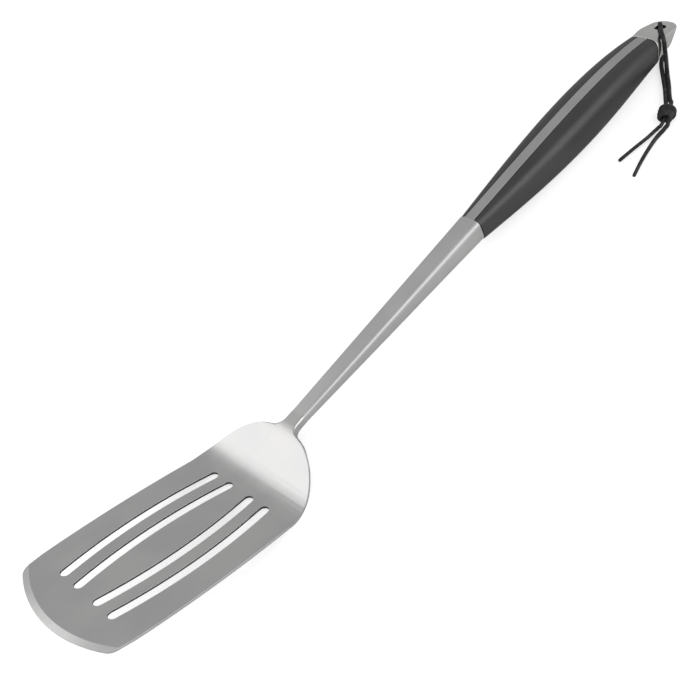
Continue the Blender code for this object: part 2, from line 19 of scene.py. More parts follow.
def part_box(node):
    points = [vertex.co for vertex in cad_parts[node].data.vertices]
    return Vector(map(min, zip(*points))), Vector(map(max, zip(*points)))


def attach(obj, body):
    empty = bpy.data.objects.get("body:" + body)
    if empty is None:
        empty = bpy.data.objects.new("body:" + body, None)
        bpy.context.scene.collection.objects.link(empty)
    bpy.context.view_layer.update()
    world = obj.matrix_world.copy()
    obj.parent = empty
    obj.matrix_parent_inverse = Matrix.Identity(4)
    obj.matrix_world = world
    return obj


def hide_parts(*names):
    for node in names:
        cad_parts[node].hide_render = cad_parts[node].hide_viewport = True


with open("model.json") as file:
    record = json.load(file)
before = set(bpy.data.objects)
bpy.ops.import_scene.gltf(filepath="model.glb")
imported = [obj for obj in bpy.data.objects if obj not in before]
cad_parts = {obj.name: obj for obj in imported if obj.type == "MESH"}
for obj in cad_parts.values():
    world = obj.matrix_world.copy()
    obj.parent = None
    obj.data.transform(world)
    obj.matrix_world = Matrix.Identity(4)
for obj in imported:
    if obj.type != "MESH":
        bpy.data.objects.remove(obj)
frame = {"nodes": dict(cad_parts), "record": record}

log = logging.getLogger("grill_spatula")
HEAD_UP = Vector(frame["record"]["mounts"][1]["axis"]).normalized()
TILT = math.atan2(HEAD_UP.x, HEAD_UP.z)
WHITE = (1.0, 1.0, 1.0, 1.0)
Point = tuple[float, float, float]


class Slot(Enum):
    """The record's material slots."""

    HEAD = "head_steel"
    SHANK = "shank_steel"
    CAP = "cap_steel"
    DOWEL = "dowel_steel"
    SCALE = "scale_black"
    THONG = "thong_leather"


class Body(Enum):
    """The rigid bodies that pieces ride on."""

    SPATULA = "spatula"
    LANYARD = "lanyard"


# Shared shader groups


class ShaderGroup:
    """A shader node group that several finishes share."""

    def __init__(self, name: str, outputs: tuple[str, ...]) -> None:
        """Make the group with its sockets.

        Args:
            name: The group's name.
            outputs: The names of the values that the group puts out.
        """
        self.tree = bpy.data.node_groups.new(name, "ShaderNodeTree")
        for label in outputs:
            self.tree.interface.new_socket(label, in_out="OUTPUT", socket_type="NodeSocketFloat")
        self.end = self.tree.nodes.new("NodeGroupOutput")

    def node(self, kind: str, **settings: object) -> bpy.types.Node:
        """Add a node to the group.

        Args:
            kind: The node's type name.
            settings: Attributes to set on it.

        Returns:
            The new node.
        """
        made = self.tree.nodes.new(kind)
        for label, value in settings.items():
            setattr(made, label, value)
        return made

    def noise(
        self, where: bpy.types.NodeSocket, scale: float, detail: float, roughness: float = 0.5
    ) -> bpy.types.NodeSocket:
        """Add a noise.

        Args:
            where: The socket with the coordinates.
            scale: Cells for each unit of them.
            detail: How many finer layers lie on it.
            roughness: How strong those layers are.

        Returns:
            The socket with the noise, from 0 to 1.
        """
        made = self.node("ShaderNodeTexNoise")
        made.inputs["Scale"].default_value = scale
        made.inputs["Detail"].default_value = detail
        made.inputs["Roughness"].default_value = roughness
        self.link(where, made.inputs["Vector"])
        return made.outputs["Fac"]

    def link(self, source: bpy.types.NodeSocket, target: bpy.types.NodeSocket) -> None:
        """Join two sockets of the group."""
        self.tree.links.new(source, target)

    def coordinates(self, stretch: Point, turn: float = 0.0) -> bpy.types.NodeSocket:
        """Object coordinates, stretched and turned about Y.

        Args:
            stretch: The scale along each axis.
            turn: The angle about Y that lines the pattern up with a tilted piece.

        Returns:
            The socket with the coordinates.
        """
        place = self.node("ShaderNodeTexCoord")
        lay = self.node("ShaderNodeMapping", vector_type="TEXTURE")
        lay.inputs["Rotation"].default_value = (0.0, turn, 0.0)
        size = self.node("ShaderNodeVectorMath", operation="MULTIPLY")
        size.inputs[1].default_value = stretch
        self.link(place.outputs["Object"], lay.inputs["Vector"])
        self.link(lay.outputs["Vector"], size.inputs[0])
        return size.outputs["Vector"]


def grain_group(name: str, along: float, across: float, turn: float) -> ShaderGroup:
    """A brushed grain: noise drawn out along X.

    Args:
        name: The group's name.
        along: Noise cells for each metre along the strokes.
        across: Noise cells for each metre across them.
        turn: The tilt about Y of the face that carries the grain.

    Returns:
        A group with the output Grain, from 0 to 1.
    """
    group = ShaderGroup(name, ("Grain",))
    where = group.coordinates((along, across, across), turn)
    group.link(group.noise(where, 1.0, 3.0, 0.65), group.end.inputs["Grain"])
    return group


def patch_group() -> ShaderGroup:
    """Soft patches a few centimetres across, as of handling and of uneven polish, and fine specks.

    Returns:
        A group with the outputs Patch and Speck, each from 0 to 1.
    """
    group = ShaderGroup("handling_patches", ("Patch", "Speck"))
    where = group.coordinates((1.0, 1.6, 1.6))
    soft = group.node("ShaderNodeMapRange", interpolation_type="SMOOTHSTEP")
    soft.inputs["From Min"].default_value = 0.36
    soft.inputs["From Max"].default_value = 0.66
    group.link(group.noise(where, 28.0, 2.0), soft.inputs["Value"])
    group.link(soft.outputs["Result"], group.end.inputs["Patch"])
    group.link(group.noise(where, 620.0, 2.0), group.end.inputs["Speck"])
    return group


class Finish:
    """What every finish does: it starts a material and lends nodes and links to it."""

    def begin(self, name: str) -> tuple[bpy.types.Material, bpy.types.Node]:
        """Start a material.

        Args:
            name: The material's name.

        Returns:
            The material and its Principled BSDF.
        """
        made = bpy.data.materials.new(name)
        made.use_nodes = True
        return made, made.node_tree.nodes["Principled BSDF"]

    def group(self, material: bpy.types.Material, shared: ShaderGroup) -> bpy.types.Node:
        """Place a shared group in a material and return its node."""
        made = material.node_tree.nodes.new("ShaderNodeGroup")
        made.node_tree = shared.tree
        return made

    def blend(
        self, material: bpy.types.Material, mask: bpy.types.NodeSocket, low: Point, high: Point
    ) -> bpy.types.NodeSocket:
        """Mix two colours by a mask.

        Args:
            material: The material that takes the nodes.
            mask: The socket with the mask, from 0 to 1.
            low: The colour where the mask is 0.
            high: The colour where the mask is 1.

        Returns:
            The socket with the mixed colour.
        """
        mix = material.node_tree.nodes.new("ShaderNodeMix")
        mix.data_type = "RGBA"
        mix.inputs["A"].default_value = (*low, 1.0)
        mix.inputs["B"].default_value = (*high, 1.0)
        material.node_tree.links.new(mask, mix.inputs["Factor"])
        return mix.outputs["Result"]

    def ranged(
        self, material: bpy.types.Material, value: bpy.types.NodeSocket, low: float, high: float
    ) -> bpy.types.NodeSocket:
        """Carry a value from 0 to 1 over to another range.

        Args:
            material: The material that takes the nodes.
            value: The socket with the value.
            low: What 0 becomes.
            high: What 1 becomes.

        Returns:
            The socket with the new value.
        """
        made = material.node_tree.nodes.new("ShaderNodeMapRange")
        made.inputs["To Min"].default_value = low
        made.inputs["To Max"].default_value = high
        material.node_tree.links.new(value, made.inputs["Value"])
        return made.outputs["Result"]

    def bump(
        self, material: bpy.types.Material, height: bpy.types.NodeSocket, depth: float, onto: bpy.types.Node
    ) -> None:
        """Feed a height to a shader's normal.

        Args:
            material: The material that takes the nodes.
            height: The socket with the height, from 0 to 1.
            depth: How deep a height of 1 is, in metres.
            onto: The shader.
        """
        made = material.node_tree.nodes.new("ShaderNodeBump")
        made.inputs["Distance"].default_value = depth
        made.inputs["Strength"].default_value = 1.0
        material.node_tree.links.new(height, made.inputs["Height"])
        material.node_tree.links.new(made.outputs["Normal"], onto.inputs["Normal"])


@dataclass(frozen=True)
class BrushedSteel(Finish):
    """Stainless steel with a directional grain and faint patches of polish."""

    name: str
    grain: ShaderGroup
    patches: ShaderGroup
    dark: Point
    light: Point
    smoothest: float
    roughest: float
    depth: float
    patch_share: float = 0.35

    def material(self) -> bpy.types.Material:
        """Build the material."""
        made, shader = self.begin(self.name)
        links = made.node_tree.links
        grain = self.group(made, self.grain)
        patches = self.group(made, self.patches)
        colour = self.blend(made, patches.outputs["Patch"], self.dark, self.light)
        links.new(colour, shader.inputs["Base Color"])
        both = made.node_tree.nodes.new("ShaderNodeMath")
        both.operation = "MULTIPLY_ADD"
        both.inputs[1].default_value = self.patch_share
        links.new(patches.outputs["Patch"], both.inputs[0])
        links.new(grain.outputs["Grain"], both.inputs[2])
        rough = self.ranged(made, both.outputs[0], self.smoothest, self.roughest)
        links.new(rough, shader.inputs["Roughness"])
        shader.inputs["Metallic"].default_value = 1.0
        self.bump(made, grain.outputs["Grain"], self.depth, shader)
        return made


@dataclass(frozen=True)
class SlotWallShadeSteel(Finish):
    """The slots' upright walls: steel rougher than the sheet, whose much darker colour is painted shade."""

    name: str
    grain: ShaderGroup
    # The walls' tone, kept dark as painted shade.
    shade: float = 0.13
    spread: float = 0.3
    smoothest: float = 0.5
    roughest: float = 0.7

    def material(self) -> bpy.types.Material:
        """Build the material."""
        made, shader = self.begin(self.name)
        links = made.node_tree.links
        grain = self.group(made, self.grain).outputs["Grain"]
        low = (self.shade * (1 - self.spread),) * 3
        high = (self.shade * (1 + self.spread),) * 3
        links.new(self.blend(made, grain, low, high), shader.inputs["Base Color"])
        links.new(self.ranged(made, grain, self.smoothest, self.roughest), shader.inputs["Roughness"])
        shader.inputs["Metallic"].default_value = 1.0
        return made


@dataclass(frozen=True)
class MouldedBlack(Finish):
    """The scales' black moulding, satin with a faint cloudiness."""

    name: str
    patches: ShaderGroup
    dark: Point = (0.018, 0.018, 0.0185)
    light: Point = (0.028, 0.0275, 0.0275)
    smoothest: float = 0.36
    roughest: float = 0.52
    sheen: float = 0.8
    depth: float = 0.00002

    def material(self) -> bpy.types.Material:
        """Build the material."""
        made, shader = self.begin(self.name)
        links = made.node_tree.links
        patches = self.group(made, self.patches)
        speck = patches.outputs["Speck"]
        colour = self.blend(made, patches.outputs["Patch"], self.dark, self.light)
        links.new(colour, shader.inputs["Base Color"])
        links.new(self.ranged(made, speck, self.smoothest, self.roughest), shader.inputs["Roughness"])
        shader.inputs["Specular IOR Level"].default_value = self.sheen
        self.bump(made, speck, self.depth, shader)
        return made


@dataclass(frozen=True)
class LaceLeather(Finish):
    """Dark leather with pores and a worn, paler skin in places."""

    name: str
    dark: Point = (0.010, 0.010, 0.010)
    worn: Point = (0.036, 0.034, 0.033)
    wear_starts: float = 0.46
    wear_ends: float = 0.70
    patches_per_metre: float = 260.0
    pores_per_metre: float = 1900.0
    pore_depth: float = 0.00012
    dull: float = 0.72
    rubbed: float = 0.50

    def material(self) -> bpy.types.Material:
        """Build the material."""
        made, shader = self.begin(self.name)
        nodes, links = made.node_tree.nodes, made.node_tree.links
        place = nodes.new("ShaderNodeTexCoord")
        wear = nodes.new("ShaderNodeTexNoise")
        wear.inputs["Scale"].default_value = self.patches_per_metre
        wear.inputs["Detail"].default_value = 3.0
        links.new(place.outputs["Object"], wear.inputs["Vector"])
        mask = nodes.new("ShaderNodeMapRange")
        mask.inputs["From Min"].default_value = self.wear_starts
        mask.inputs["From Max"].default_value = self.wear_ends
        links.new(wear.outputs["Fac"], mask.inputs["Value"])
        worn = mask.outputs["Result"]
        links.new(self.blend(made, worn, self.dark, self.worn), shader.inputs["Base Color"])
        links.new(self.ranged(made, worn, self.dull, self.rubbed), shader.inputs["Roughness"])
        pores = nodes.new("ShaderNodeTexVoronoi")
        pores.inputs["Scale"].default_value = self.pores_per_metre
        links.new(place.outputs["Object"], pores.inputs["Vector"])
        self.bump(made, pores.outputs["Distance"], self.pore_depth, shader)
        return made


@dataclass(frozen=True)
class StudioPaper(Finish):
    """The plain pale floor."""

    name: str
    shade: float
    glow: float
    fibres_per_metre: float = 900.0
    darker: float = 0.008
    lighter: float = 0.004
    roughness: float = 0.95
    sheen: float = 0.1

    def material(self) -> bpy.types.Material:
        """Build the material, which is overexposed a little where the camera sees it."""
        made, shader = self.begin(self.name)
        nodes, links = made.node_tree.nodes, made.node_tree.links
        shader.inputs["Emission Color"].default_value = WHITE
        path = nodes.new("ShaderNodeLightPath")
        glow = self.ranged(made, path.outputs["Is Camera Ray"], 0.0, self.glow)
        links.new(glow, shader.inputs["Emission Strength"])
        fibres = nodes.new("ShaderNodeTexNoise")
        fibres.inputs["Scale"].default_value = self.fibres_per_metre
        low = (self.shade - self.darker,) * 3
        high = (self.shade + self.lighter,) * 3
        links.new(self.blend(made, fibres.outputs["Fac"], low, high), shader.inputs["Base Color"])
        shader.inputs["Roughness"].default_value = self.roughness
        shader.inputs["Specular IOR Level"].default_value = self.sheen
        return made


# Modelling with operators


class Bench:
    """Operators used by every piece, each on one selected object."""

    merge_distance = 0.000004
    flat_angle = math.radians(0.3)
    ground_angle = math.radians(9)
    level_share = 0.93
    rounding_segments = 3
    area_weight = 70

    @staticmethod
    def take(obj: bpy.types.Object) -> None:
        """Select one object alone and make it active."""
        bpy.ops.object.select_all(action="DESELECT")
        obj.select_set(True)
        bpy.context.view_layer.objects.active = obj

    @staticmethod
    def copy_of(node: str, name: str) -> bpy.types.Object:
        """A merged copy of a CAD node, with its own mesh.

        Args:
            node: The CAD node's name.
            name: The new piece's name.

        Returns:
            The new object, which stands at the origin.
        """
        source = frame["nodes"][node]
        mesh = source.data.copy()
        mesh.transform(source.matrix_world)
        mesh.materials.clear()
        made = bpy.data.objects.new(name, mesh)
        bpy.context.scene.collection.objects.link(made)
        Bench.take(made)
        bpy.ops.object.mode_set(mode="EDIT")
        bpy.ops.mesh.select_all(action="SELECT")
        bpy.ops.mesh.remove_doubles(threshold=Bench.merge_distance)
        bpy.ops.mesh.customdata_custom_splitnormals_clear()
        bpy.ops.mesh.dissolve_limited(angle_limit=Bench.flat_angle)
        bpy.ops.object.mode_set(mode="OBJECT")
        return made

    @staticmethod
    def ease_edges(
        obj: bpy.types.Object,
        width: float,
        sharper_than: float,
        share: Callable[[Vector], float] | None = None,
    ) -> None:
        """Round a piece's edges and apply the rounding.

        Args:
            obj: The piece.
            width: The widest rounding.
            sharper_than: The angle in degrees above which an edge is rounded.
            share: What part of the width an edge takes, by its middle; all of it where none is given.
        """
        bm = bmesh.new()
        bm.from_mesh(obj.data)
        weights = bm.edges.layers.float.new("bevel_weight_edge")
        for edge in bm.edges:
            if edge.calc_face_angle(0.0) > math.radians(sharper_than):
                middle = (edge.verts[0].co + edge.verts[1].co) / 2
                edge[weights] = share(middle) if share else 1.0
        bm.to_mesh(obj.data)
        bm.free()
        Bench.take(obj)
        bevel = obj.modifiers.new("eased", "BEVEL")
        bevel.limit_method = "WEIGHT"
        bevel.width = width
        bevel.segments = Bench.rounding_segments
        bevel.use_clamp_overlap = False
        bpy.ops.object.modifier_apply(modifier=bevel.name)

    @staticmethod
    def shade(
        obj: bpy.types.Object, degrees: float, ground: Callable[[Vector], bool] | None = None
    ) -> None:
        """Shade a piece smooth, with its normals weighted by area.

        Args:
            obj: The piece.
            degrees: Edges sharper than this stay sharp.
            ground: Tells by an edge's middle whether it may bound a ground face. There an edge between two
                level faces stays sharp above a smaller angle.
        """
        Bench.take(obj)
        bpy.ops.object.shade_smooth_by_angle(angle=math.radians(degrees))
        bm = bmesh.new()
        bm.from_mesh(obj.data)
        for edge in bm.edges:
            level = all(abs(face.normal.dot(HEAD_UP)) > Bench.level_share for face in edge.link_faces)
            if ground and level and edge.calc_face_angle(0.0) > Bench.ground_angle:
                edge.smooth = edge.smooth and not ground((edge.verts[0].co + edge.verts[1].co) / 2)
        bm.to_mesh(obj.data)
        bm.free()
        even = obj.modifiers.new("even", "WEIGHTED_NORMAL")
        even.keep_sharp = True
        even.weight = Bench.area_weight
        bpy.ops.object.modifier_apply(modifier=even.name)

    @staticmethod
    def fit(obj: bpy.types.Object, body: Body, slot: Slot, nodes: tuple[str, ...]) -> None:
        """Ride on a body and stand for CAD nodes.

        Args:
            obj: The piece.
            body: The body that it rides on.
            slot: The record's slot for its finish; not used.
            nodes: The CAD nodes that it stands for, if any.
        """
        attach(obj, body.value)
        if nodes:
            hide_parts(*nodes)
        stands_for = ", ".join(nodes) or "no node of its own"
        log.info("%s: %d faces, stands for %s", obj.name, len(obj.data.polygons), stands_for)


# The steel


@dataclass
class TurnerHead:
    """The slotted, cranked head."""

    finish: BrushedSteel
    # The slot walls' finish: its dark colour is painted shade.
    wall_shade_finish: SlotWallShadeSteel
    # The ground front bevel's finish: its lighter colour is a painted highlight.
    bevel_highlight_finish: BrushedSteel
    eased_above: float = 50
    sharp_above: float = 40
    edge: float = 0.00015
    root_round: float = 0.0016
    root_length: float = 0.0133
    root_reach: float = 0.012
    root_run_in: float = 0.0007
    end_depth: float = 0.0006
    front_x: float = 0.0
    end_x: float = 0.0
    ground_reach: float = 0.022
    slots_front: float = 0.017
    slots_back: float = 0.105
    bend_start: float = 0.0996
    bend_end: float = 0.1291
    slots_reach: float = 0.0265
    wall_level: float = 0.5
    ground_least: float = 0.9
    ground_most: float = 0.99
    shank_slope: float = math.radians(21.3) - TILT

    def edge_share(self, middle: Vector) -> float:
        """How round an edge is: hardly at all on the sheet, and more and more along the root.

        Args:
            middle: The edge's middle.

        Returns:
            The share of root_round. It is 0 at the root's end, and in the bend, whose strips are too narrow.
        """
        at_end = middle.x > self.end_x - self.end_depth
        in_bend = self.bend_start < middle.x - self.front_x < self.bend_end
        if at_end or in_bend:
            return 0.0
        reach = (middle.x - (self.end_x - self.root_length)) / self.root_length
        grown = min(max(reach, 0.0), 1.0) if abs(middle.y) < self.root_reach else 0.0
        least = self.edge / self.root_round
        return least + (1.0 - least) * grown

    def run_root_into_shank(self, head: bpy.types.Object) -> None:
        """Move the root's end face on past the weld, so that no gap shows."""
        ahead = Vector((math.cos(self.shank_slope), 0.0, math.sin(self.shank_slope)))
        for vert in head.data.vertices:
            if vert.co.x > self.end_x - self.end_depth:
                vert.co += ahead * self.root_run_in

    def share_finishes(self, head: bpy.types.Object) -> None:
        """Give the slots' upright walls the second material, whose dark colour is painted shade, and the ground
        front edge the third, whose lighter colour is a painted highlight.
        """
        for polygon in head.data.polygons:
            level = polygon.normal.dot(HEAD_UP)
            from_front = polygon.center.x - self.front_x
            along_slots = self.slots_front < from_front < self.slots_back
            is_wall = abs(level) < self.wall_level
            is_ground = self.ground_least < level < self.ground_most
            if along_slots and abs(polygon.center.y) < self.slots_reach and is_wall:
                # Painted shade: the slot walls take the dark material.
                polygon.material_index = 1
            elif is_ground and from_front < self.ground_reach:
                # Painted highlight: the ground front bevel takes the lighter material.
                polygon.material_index = 2

    def build(self) -> bpy.types.Object:
        """Build the head and return it."""
        low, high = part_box("turner_head")
        self.front_x, self.end_x = low[0], high[0]
        head = Bench.copy_of("turner_head", "head_plate")
        Bench.ease_edges(head, self.root_round, self.eased_above, self.edge_share)
        self.run_root_into_shank(head)
        Bench.shade(head, self.sharp_above, lambda middle: middle.x < self.front_x + self.ground_reach)
        for finish in (self.finish, self.wall_shade_finish, self.bevel_highlight_finish):
            head.data.materials.append(finish.material())
        self.share_finishes(head)
        Bench.fit(head, Body.SPATULA, Slot.HEAD, ("turner_head",))
        return head


@dataclass
class Handle:
    """The shank with its tang, the two scales, the butt cap and the dowels."""

    shank_finish: BrushedSteel
    tang_finish: BrushedSteel
    cap_finish: BrushedSteel
    dowel_finish: BrushedSteel
    scale_finish: MouldedBlack
    edge: float = 0.0003
    shank_edge: float = 0.0002
    weld_length: float = 0.003
    dowel_edge: float = 0.0004
    shank_eased_above: float = 60
    cap_eased_above: float = 40
    scale_eased_above: float = 55
    dowel_eased_above: float = 50
    sharp_above: float = 32
    scale_sharp_above: float = 35
    dowel_sharp_above: float = 40

    def build(self) -> list[bpy.types.Object]:
        """Build the handle's pieces and return them."""
        return [self.shank(), self.cap(), *self.scales(), *self.dowels()]

    def shank(self) -> bpy.types.Object:
        """Build the shank with its tang, which is dulled between the scales."""
        made = Bench.copy_of("shank", "shank_and_tang")
        weld_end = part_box("shank")[0][0] + self.weld_length
        Bench.ease_edges(
            made, self.shank_edge, self.shank_eased_above, lambda middle: 0.0 if middle.x < weld_end else 1.0
        )
        Bench.shade(made, self.sharp_above)
        for finish in (self.shank_finish, self.tang_finish):
            made.data.materials.append(finish.material())
        tang_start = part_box("left_scale")[0][0]
        for polygon in made.data.polygons:
            if polygon.center.x > tang_start:
                polygon.material_index = 1
        Bench.fit(made, Body.SPATULA, Slot.SHANK, ("shank",))
        return made

    def cap(self) -> bpy.types.Object:
        """Build the butt cap."""
        made = Bench.copy_of("butt_cap", "cap_with_hole")
        Bench.ease_edges(made, self.edge, self.cap_eased_above)
        Bench.shade(made, self.sharp_above)
        made.data.materials.append(self.cap_finish.material())
        Bench.fit(made, Body.SPATULA, Slot.CAP, ("butt_cap",))
        return made

    def scales(self) -> list[bpy.types.Object]:
        """Build the two scales."""
        made = []
        material = self.scale_finish.material()
        for side in ("left", "right"):
            scale = Bench.copy_of(f"{side}_scale", f"{side}_grip_scale")
            Bench.ease_edges(scale, self.edge, self.scale_eased_above)
            Bench.shade(scale, self.scale_sharp_above)
            scale.data.materials.append(material)
            Bench.fit(scale, Body.SPATULA, Slot.SCALE, (f"{side}_scale",))
            made.append(scale)
        return made

    def dowels(self) -> list[bpy.types.Object]:
        """Build the hidden dowels."""
        made = []
        material = self.dowel_finish.material()
        for number in (1, 2, 3):
            dowel = Bench.copy_of(f"scale_dowel_{number}", f"dowel_pin_{number}")
            Bench.ease_edges(dowel, self.dowel_edge, self.dowel_eased_above)
            Bench.shade(dowel, self.dowel_sharp_above)
            dowel.data.materials.append(material)
            Bench.fit(dowel, Body.SPATULA, Slot.DOWEL, (f"scale_dowel_{number}",))
            made.append(dowel)
        return made


# The lace


def smooth_route(points: list[Vector], spacing: float) -> list[Vector]:
    """Evenly spaced points on a smooth curve through the given ones, which is a Catmull-Rom curve.

    Args:
        points: The route's own points.
        spacing: About how far apart the new points are.

    Returns:
        The new points, from the first given point to the last.
    """
    ends = [2 * points[0] - points[1], *points, 2 * points[-1] - points[-2]]
    steps = 16
    fine = []
    for a, b, c, d in zip(ends, ends[1:], ends[2:], ends[3:]):
        for i in range(steps):
            t = i / steps
            square = (2 * a - 5 * b + 4 * c - d) * t**2
            cube = (3 * b - a - 3 * c + d) * t**3
            fine.append(0.5 * (2 * b + (c - a) * t + square + cube))
    fine.append(points[-1].copy())
    runs = [0.0]
    for before, after in zip(fine, fine[1:]):
        runs.append(runs[-1] + (after - before).length)
    count = max(3, round(runs[-1] / spacing))
    even, j = [], 1
    for i in range(count + 1):
        wanted = runs[-1] * i / count
        while j < len(runs) - 1 and runs[j] < wanted:
            j += 1
        share = (wanted - runs[j - 1]) / max(runs[j] - runs[j - 1], 1e-12)
        even.append(fine[j - 1].lerp(fine[j], min(max(share, 0.0), 1.0)))
    return even


@dataclass
class Lace:
    """A leather lace: a rounded strip swept along a route."""

    width: float = 0.0025
    thickness: float = 0.0019
    corner: float = 2.6
    sides: int = 16
    cut_size: float = 0.90
    sharp_above: float = 50

    def section(self, turn: float, size: float = 1.0) -> list[tuple[float, float]]:
        """The strip's rounded outline, turned in its own plane.

        Args:
            turn: The angle by which the strip lies twisted.
            size: A factor on both sides of the section.

        Returns:
            The outline's points.
        """
        outline = []
        for i in range(self.sides):
            angle = math.tau * i / self.sides
            x = math.copysign(abs(math.cos(angle)) ** (2 / self.corner), math.cos(angle))
            y = math.copysign(abs(math.sin(angle)) ** (2 / self.corner), math.sin(angle))
            x *= size * self.width / 2
            y *= size * self.thickness / 2
            cos, sin = math.cos(turn), math.sin(turn)
            outline.append((x * cos - y * sin, x * sin + y * cos))
        return outline

    def sweep(self, name: str, route: list[Vector], twist: float = 0.0) -> bpy.types.Object:
        """Sweep the strip along a route with cut ends.

        Args:
            name: The piece's name.
            route: The points of the centre line.
            twist: How far the strip turns about itself from start to end.

        Returns:
            The new object.
        """
        bm = bmesh.new()
        side = Vector((0, 0, 1)).cross(route[1] - route[0])
        if side.length < 1e-6:
            side = Vector((0, 1, 0))
        rings = []
        for i, at in enumerate(route):
            ahead = (route[min(i + 1, len(route) - 1)] - route[max(i - 1, 0)]).normalized()
            side = (side - ahead * side.dot(ahead)).normalized()
            up = ahead.cross(side)
            ends = min(i, len(route) - 1 - i)
            size = self.cut_size if ends == 0 else 1.0
            outline = self.section(twist * i / (len(route) - 1), size)
            rings.append([bm.verts.new(at + side * x + up * y) for x, y in outline])
        for ring, after in zip(rings, rings[1:]):
            for i in range(self.sides):
                j = (i + 1) % self.sides
                bm.faces.new((ring[i], ring[j], after[j], after[i]))
        bm.faces.new(rings[0])
        bm.faces.new(rings[-1])
        bmesh.ops.recalc_face_normals(bm, faces=bm.faces)
        mesh = bpy.data.meshes.new(name)
        bm.to_mesh(mesh)
        bm.free()
        made = bpy.data.objects.new(name, mesh)
        bpy.context.scene.collection.objects.link(made)
        Bench.take(made)
        bpy.ops.object.shade_smooth_by_angle(angle=math.radians(self.sharp_above))
        return made


